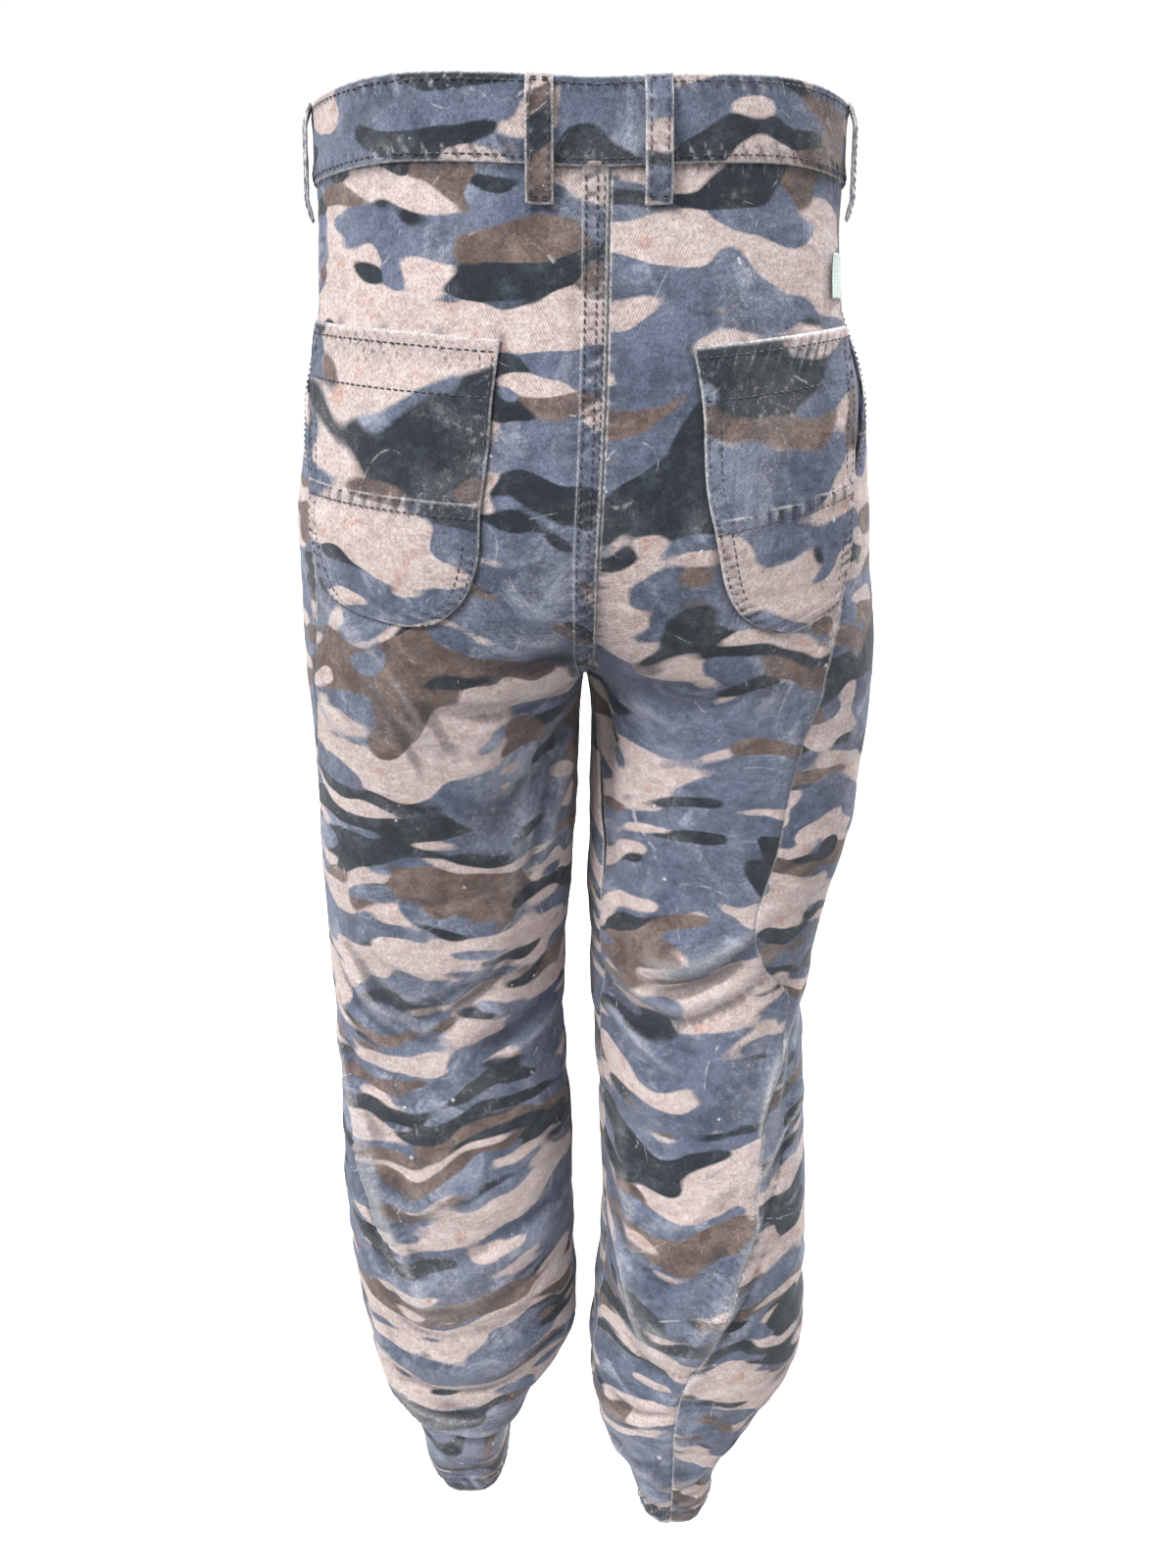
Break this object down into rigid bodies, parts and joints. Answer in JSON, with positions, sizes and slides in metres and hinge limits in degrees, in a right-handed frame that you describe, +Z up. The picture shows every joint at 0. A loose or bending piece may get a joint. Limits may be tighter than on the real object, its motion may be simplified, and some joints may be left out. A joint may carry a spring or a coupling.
{
  "type": "denim trousers",
  "caption": "Loose, full-length denim jeans in a washed camouflage print, filled out as when worn and hollow, narrow and bunched at the hems.",
  "frame": {"origin": "centre of the waist opening, halfway up the waistband", "axes": "+Z up along the body, +Y towards the back of the garment, +X towards the wearer's left"},
  "size_m": [0.3735, 0.2444, 1.0621],
  "materials": {
    "camo_twill": "washed cotton twill, camouflage print in slate blue, pale sand, charcoal and taupe",
    "label_weave": "plain woven label",
    "antique_metal": "darkened, satin"
  },
  "bodies": {
    "root": {"back_left": "camo_twill", "back_right": "camo_twill", "front_left": "camo_twill", "front_right": "camo_twill", "pocket_front_left": "camo_twill", "pocket_front_right": "camo_twill", "fly_underlap": "camo_twill", "waistband": "camo_twill", "loop_back_left": "camo_twill", "loop_back_right": "camo_twill", "loop_side_left": "camo_twill", "loop_side_right": "camo_twill", "loop_front_left": "camo_twill", "loop_front_right": "camo_twill", "pocket_back_left": "camo_twill", "pocket_back_right": "camo_twill", "side_label": "label_weave", "waist_button": "antique_metal"}
  },
  "joints": []
}
